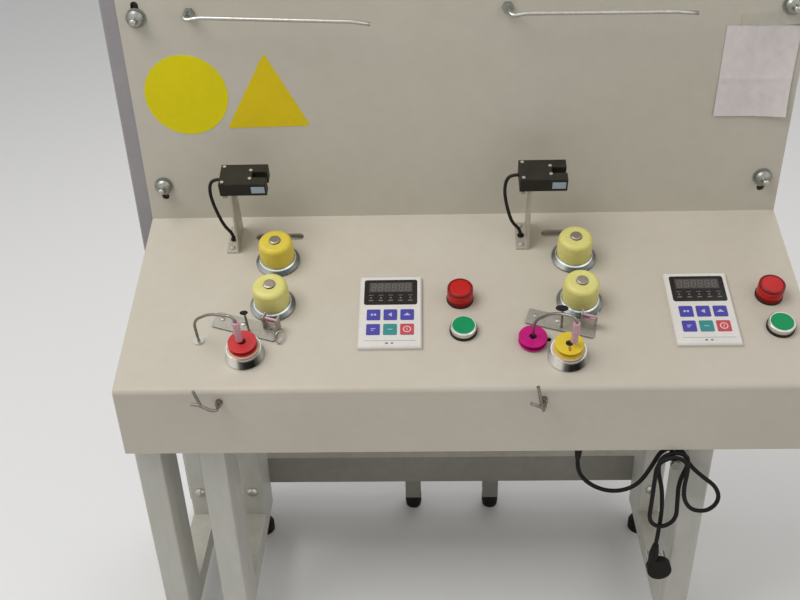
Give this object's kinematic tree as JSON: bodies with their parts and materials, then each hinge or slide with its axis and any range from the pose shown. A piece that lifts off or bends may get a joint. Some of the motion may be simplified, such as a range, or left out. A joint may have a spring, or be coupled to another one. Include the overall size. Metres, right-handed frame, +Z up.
{
  "type": "yarn winding machine",
  "caption": "Two-station bench winder: sloped sheet-metal desk with an upright panel on a tube stand, soft rollers, bobbin spindles, guide arms, slotted sensors and counters.",
  "frame": {"origin": "on the floor under the middle of the machine's overall length and depth", "axes": "+X to the operator's right along the desk, +Y from the operator to the back panel, +Z up"},
  "size_m": [0.786, 0.324, 0.8163],
  "materials": {
    "desk_coat": "satin powder coat",
    "frame_coat": "satin powder coat",
    "black_rubber": "matt",
    "bright_steel": "bright",
    "chrome_hub": "polished",
    "yellow_elastomer": "semi-gloss",
    "cream_plastic": "matt",
    "red_bobbin": "gloss",
    "yellow_bobbin": "gloss",
    "magenta_bobbin": "gloss",
    "motor_coat": "satin",
    "pink_ceramic": "polished",
    "sensor_plastic": "matt",
    "galvanised": "dull zinc",
    "grey_cable": "matt",
    "counter_white": "satin",
    "dark_window": "gloss",
    "violet_key": "satin",
    "black_plastic": "satin",
    "red_lens": "gloss",
    "green_button": "gloss",
    "black_felt": "felt"
  },
  "bodies": {
    "stand": {"arm_bushes": "bright_steel", "back_panel": "desk_coat", "bottom_rails": "frame_coat", "cable_grommets": "black_rubber", "cord_gland": "black_plastic", "cord_hook": "bright_steel", "counter_keys": "violet_key", "counter_windows": "dark_window", "counters": "counter_white", "desk_sheet": "desk_coat", "felt_washers": "black_felt", "frame_bolts": "bright_steel", "front_legs": "frame_coat", "guide_rod_nuts": "bright_steel", "guide_rods": "bright_steel", "lamp_and_button_bodies": "black_plastic", "left_sensor_cable": "grey_cable", "left_sensor_housing": "sensor_plastic", "panel_cap_nuts": "bright_steel", "pilot_lamp_lenses": "red_lens", "plate_fittings": "bright_steel", "plug_pins": "bright_steel", "power_cord": "black_rubber", "power_plug": "black_rubber", "push_button_rings": "chrome_hub", "rear_legs": "frame_coat", "rear_post": "frame_coat", "rear_stretcher": "frame_coat", "right_sensor_cable": "grey_cable", "right_sensor_housing": "sensor_plastic", "roller_fasteners": "bright_steel", "rubber_feet": "black_rubber", "sensor_brackets": "galvanised", "sensor_screws": "bright_steel", "spare_bobbin": "magenta_bobbin", "spindle_motors": "motor_coat", "tension_bars": "pink_ceramic", "tension_plates": "galvanised", "thread_guides": "bright_steel", "top_rails": "frame_coat"},
    "left_lower_roller": {"left_lower_roller_hub": "chrome_hub", "left_lower_roller_sleeve": "yellow_elastomer"},
    "left_upper_roller": {"left_upper_roller_hub": "chrome_hub", "left_upper_roller_sleeve": "yellow_elastomer"},
    "left_spindle": {"left_spindle_cup": "chrome_hub", "left_seat_ring": "cream_plastic", "left_bobbin": "red_bobbin"},
    "right_lower_roller": {"right_lower_roller_hub": "chrome_hub", "right_lower_roller_sleeve": "yellow_elastomer"},
    "right_upper_roller": {"right_upper_roller_hub": "chrome_hub", "right_upper_roller_sleeve": "yellow_elastomer"},
    "right_spindle": {"right_spindle_cup": "chrome_hub", "right_seat_ring": "cream_plastic", "right_bobbin": "yellow_bobbin"},
    "left_arm": {"left_guide_arm": "bright_steel", "left_ceramic_tube": "pink_ceramic"},
    "right_arm": {"right_guide_arm": "bright_steel", "right_ceramic_tube": "pink_ceramic"},
    "left_button": {"left_push_button": "green_button"},
    "right_button": {"right_push_button": "green_button"}
  },
  "joints": [
    {"name": "left_lower_roller_spin", "type": "hinge", "parent": "stand", "child": "left_lower_roller", "pos_m": [-0.2095, -0.03014, 0.48796], "axis": [0, -0.2756, 0.9613], "continuous": true},
    {"name": "left_upper_roller_spin", "type": "hinge", "parent": "stand", "child": "left_upper_roller", "pos_m": [-0.2095, 0.03619, 0.50698], "axis": [0, -0.2756, 0.9613], "continuous": true},
    {"name": "left_spindle_spin", "type": "hinge", "parent": "stand", "child": "left_spindle", "pos_m": [-0.2341, -0.09797, 0.46331], "axis": [0, -0.2756, 0.9613], "continuous": true},
    {"name": "right_lower_roller_spin", "type": "hinge", "parent": "stand", "child": "right_lower_roller", "pos_m": [0.141, -0.03014, 0.48796], "axis": [0, -0.2756, 0.9613], "continuous": true},
    {"name": "right_upper_roller_spin", "type": "hinge", "parent": "stand", "child": "right_upper_roller", "pos_m": [0.141, 0.03619, 0.50698], "axis": [0, -0.2756, 0.9613], "continuous": true},
    {"name": "right_spindle_spin", "type": "hinge", "parent": "stand", "child": "right_spindle", "pos_m": [0.1204, -0.1047, 0.46138], "axis": [0, -0.2756, 0.9613], "continuous": true},
    {"name": "left_arm_swing", "type": "hinge", "parent": "stand", "child": "left_arm", "pos_m": [-0.2883, -0.07737, 0.46402], "axis": [0, 0.2756, -0.9613], "range_deg": [0, 75]},
    {"name": "right_arm_swing", "type": "hinge", "parent": "stand", "child": "right_arm", "pos_m": [0.0837, -0.08275, 0.46248], "axis": [0, 0.2756, -0.9613], "range_deg": [0, 75]},
    {"name": "left_button_press", "type": "slide", "parent": "stand", "child": "left_button", "axis": [0, 0.2756, -0.9613], "range_m": [0, 0.0035], "stiffness_N_per_m": 400, "springref_m": -0.002},
    {"name": "right_button_press", "type": "slide", "parent": "stand", "child": "right_button", "axis": [0, 0.2756, -0.9613], "range_m": [0, 0.0035], "stiffness_N_per_m": 400, "springref_m": -0.002}
  ]
}
